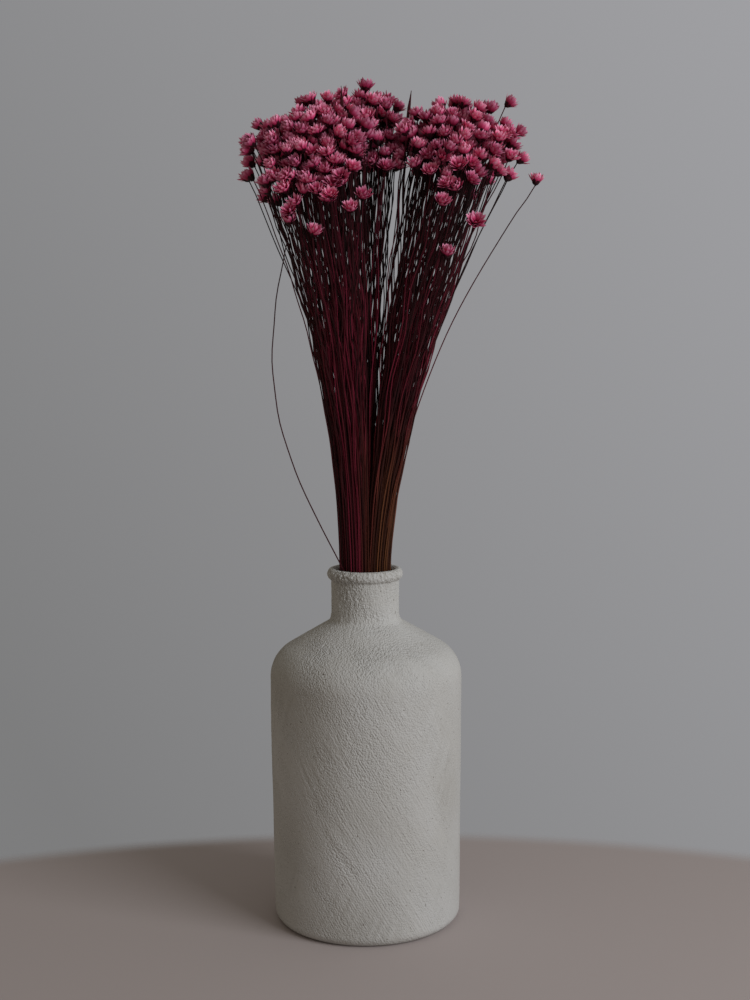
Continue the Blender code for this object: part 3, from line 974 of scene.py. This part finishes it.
def stem_finish():
    """Dry dark maroon wire with crimson streaks, browner towards the cut ends on one side, and darkened with
    painted shade towards its head, under the crown.
    """
    made, tree, shader = new_material("glixia_stem", 0.6, 0.2)
    red = ramp(tree, attribute(tree, "tone"), (
        (0.0, (0.018, 0.0014, 0.0024)),
        (0.5, (0.045, 0.003, 0.006)),
        (0.8, (0.100, 0.006, 0.014)),
        (1.0, (0.200, 0.013, 0.036)),
    ))
    straw = ramp(tree, attribute(tree, "tone"), (
        (0.0, (0.035, 0.009, 0.003)),
        (0.5, (0.090, 0.030, 0.008)),
        (1.0, (0.190, 0.085, 0.024)),
    ))
    streaks = grain(tree, STREAK_SCALE, 2, STREAK_STRETCH)
    streaks = calculated(tree, "MULTIPLY", streaks, STREAK_GAIN)
    brown = calculated(tree, "MULTIPLY", attribute(tree, "brown"), streaks)
    # painted shade: each stem darkens over the last stretch below its head, where the crown shades it
    shade = ramp(tree, attribute(tree, "tip"), ((0.62, (1.0, 1.0, 1.0)), (0.88, (0.4, 0.4, 0.42))))
    stem = mixed(tree, "MULTIPLY", 1.0, mixed(tree, "MIX", brown, red, straw), shade)
    feed(tree, shader.inputs["Base Color"], stem)
    return made


def petal_finish():
    """Papery petals: crimson at the foot and pale dusty pink at the tip."""
    made, tree, shader = new_material("glixia_petal", 0.55, 0.35)
    mottle = calculated(tree, "MULTIPLY", grain(tree, MOTTLE_SCALE, 2), MOTTLE)
    pink = ramp(tree, calculated(tree, "ADD", attribute(tree, "tip"), mottle), (
        (0.12, (0.12, 0.001, 0.012)),
        (0.36, (0.52, 0.016, 0.100)),
        (0.7, (0.84, 0.12, 0.28)),
        (1.0, (1.0, 0.44, 0.60)),
    ))
    tone = ramp(tree, attribute(tree, "tone"), ((0.0, (0.62, 0.50, 0.58)), (1.0, (1.0, 1.0, 1.0))))
    feed(tree, shader.inputs["Base Color"], mixed(tree, "MULTIPLY", 1.0, pink, tone))
    return made


def cup_finish():
    """The nearly black maroon cup and scales under the petals."""
    made, tree, shader = new_material("glixia_cup", 0.6, 0.25)
    dark = ramp(tree, attribute(tree, "tip"), (
        (0.0, (0.010, 0.001, 0.003)),
        (0.5, (0.026, 0.001, 0.005)),
        (1.0, (0.10, 0.004, 0.018)),
    ))
    feed(tree, shader.inputs["Base Color"], dark)
    return made


def plaster_colour(tree):
    """Chalky off-white, with painted shade that makes it a little darker in the hollows of the relief and a
    little lighter on its crests, and with faint clouds and small dark pits.
    """
    # painted shade: the colour follows the relief, darker in its hollows and lighter on its crests
    hollow_shade = calculated(tree, "MULTIPLY_ADD", attribute(tree, "relief"), HOLLOW_SHADE_GAIN, 0.5)
    base = ramp(tree, hollow_shade, (
        (0.0, (0.43, 0.416, 0.384)),
        (0.5, (0.53, 0.522, 0.495)),
        (1.0, (0.58, 0.572, 0.55)),
    ))
    clouds = ramp(tree, grain(tree, CLOUD_SCALE, 3), ((0.3, (0.95, 0.94, 0.92)), (0.7, (1.0, 1.0, 1.0))))
    pits = ramp(tree, grain(tree, PIT_SCALE, 1), ((0.72, (1.0, 1.0, 1.0)), (0.78, (0.42, 0.38, 0.35))))
    return mixed(tree, "MULTIPLY", 1.0, base, mixed(tree, "MULTIPLY", 1.0, clouds, pits))


def plaster_height(tree):
    """Height of the finest grain: sand where the plaster is rough, and strokes along the brush marks."""
    sand = tree.nodes.new("ShaderNodeTexVoronoi")
    sand.inputs["Scale"].default_value = SAND_SCALE
    feed(tree, sand.inputs["Vector"], tree.nodes.new("ShaderNodeTexCoord").outputs["Object"])
    grit = calculated(tree, "MULTIPLY", sand.outputs["Distance"], SAND_HEIGHT)
    grit = calculated(tree, "MULTIPLY", grit, attribute(tree, "rough"))
    strokes = grain(tree, STROKE_SCALE, 1, STROKE_STRETCH, attribute(tree, "swept", "Vector"))
    return calculated(tree, "ADD", grit, calculated(tree, "MULTIPLY", strokes, STROKE_HEIGHT))


def plaster_finish():
    """Dull brushed plaster with a fine grain."""
    made, tree, shader = new_material("vase_plaster", 0.95, 0.3)
    bump = tree.nodes.new("ShaderNodeBump")
    bump.inputs["Strength"].default_value = 1.0
    bump.inputs["Distance"].default_value = BUMP_DEPTH
    feed(tree, bump.inputs["Height"], plaster_height(tree))
    feed(tree, shader.inputs["Base Color"], plaster_colour(tree))
    feed(tree, shader.inputs["Normal"], bump.outputs["Normal"])
    return made


def make_camera():
    """The camera, where the photograph was taken from."""
    data = bpy.data.cameras.new("photo_camera")
    data.sensor_fit = "VERTICAL"
    data.sensor_height = SENSOR_HEIGHT
    data.lens = CAMERA_LENS
    data.clip_start = CAMERA_NEAR
    camera = bpy.data.objects.new("photo_camera", data)
    bpy.context.scene.collection.objects.link(camera)
    tilt = Matrix.Rotation(math.pi / 2 - CAMERA_DIP, 4, "X")
    camera.matrix_world = Matrix.Translation(CAMERA_PLACE) @ tilt @ Matrix.Rotation(CAMERA_ROLL, 4, "Z")
    bpy.context.scene.camera = camera


def make_key_light():
    """The large soft lamp that lights the object from the right."""
    data = bpy.data.lights.new("key", "AREA")
    data.shape = "RECTANGLE"
    data.size, data.size_y = KEY_SIZE
    data.energy = KEY_POWER
    data.color = KEY_COLOUR
    lamp = bpy.data.objects.new("key", data)
    bpy.context.scene.collection.objects.link(lamp)
    lamp.location = KEY_PLACE
    lamp.rotation_euler = (Vector(KEY_AIM) - Vector(KEY_PLACE)).to_track_quat("-Z", "Y").to_euler()


def floor_finish():
    """A plain pale floor whose rim fades out."""
    made, tree, shader = new_material("floor", 0.9, 0.5)
    shader.inputs["Base Color"].default_value = STAGE_COLOUR
    reach = tree.nodes.new("ShaderNodeVectorMath")
    reach.operation = "LENGTH"
    feed(tree, reach.inputs[0], tree.nodes.new("ShaderNodeTexCoord").outputs["Object"])
    fade = tree.nodes.new("ShaderNodeMapRange")
    fade.interpolation_type = "SMOOTHSTEP"
    fade.inputs["From Min"].default_value = STAGE_RADIUS
    fade.inputs["From Max"].default_value = STAGE_RIM
    feed(tree, fade.inputs["Value"], reach.outputs["Value"])
    clear = tree.nodes.new("ShaderNodeBsdfTransparent")
    blend = tree.nodes.new("ShaderNodeMixShader")
    feed(tree, blend.inputs["Fac"], fade.outputs["Result"])
    feed(tree, blend.inputs[1], shader.outputs["BSDF"])
    feed(tree, blend.inputs[2], clear.outputs["BSDF"])
    feed(tree, tree.nodes["Material Output"].inputs["Surface"], blend.outputs["Shader"])
    return made


def make_stage():
    """A plain round floor."""
    bpy.ops.mesh.primitive_circle_add(
        vertices=STAGE_SIDES, radius=STAGE_RIM, fill_type="NGON", location=STAGE_PLACE)
    floor = bpy.context.object
    floor.name = "floor"
    floor.data.materials.append(floor_finish())


def make_surroundings():
    """A plain grey that gets lighter to the right and upwards, and a warmer one that fills the shadows."""
    world = bpy.data.worlds.new("surroundings")
    bpy.context.scene.world = world
    world.use_nodes = True
    tree = world.node_tree
    towards = tree.nodes.new("ShaderNodeSeparateXYZ")
    feed(tree, towards.inputs["Vector"], tree.nodes.new("ShaderNodeTexCoord").outputs["Generated"])
    sideways = calculated(tree, "MULTIPLY_ADD", towards.outputs["X"], SIDE_GAIN, 0.5)
    lighter = calculated(tree, "MULTIPLY_ADD", towards.outputs["Z"], HEIGHT_GAIN, sideways)
    seen = tree.nodes["Background"]
    feed(tree, seen.inputs["Color"], ramp(tree, lighter, tuple(enumerate(SEEN_COLOURS))))
    fill = tree.nodes.new("ShaderNodeBackground")
    feed(tree, fill.inputs["Color"], ramp(tree, lighter, tuple(enumerate(FILL_COLOURS))))
    either = tree.nodes.new("ShaderNodeMixShader")
    feed(tree, either.inputs["Fac"], tree.nodes.new("ShaderNodeLightPath").outputs["Is Camera Ray"])
    feed(tree, either.inputs[1], fill.outputs["Background"])
    feed(tree, either.inputs[2], seen.outputs["Background"])
    feed(tree, tree.nodes["World Output"].inputs["Surface"], either.outputs["Shader"])


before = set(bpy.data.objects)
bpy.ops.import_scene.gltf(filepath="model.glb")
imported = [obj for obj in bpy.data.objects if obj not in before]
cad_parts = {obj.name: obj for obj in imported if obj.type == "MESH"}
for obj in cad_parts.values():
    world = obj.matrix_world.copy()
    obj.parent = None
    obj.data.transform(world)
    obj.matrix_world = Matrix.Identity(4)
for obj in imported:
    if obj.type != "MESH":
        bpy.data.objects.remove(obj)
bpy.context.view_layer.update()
bpy.context.scene.view_settings.view_transform = "Standard"
make_camera()
make_stage()
make_surroundings()
make_key_light()
glixia_finishes = (stem_finish(), petal_finish(), cup_finish())
make_tufts(glixia_finishes)
make_spikes(glixia_finishes)
make_vase(plaster_finish())
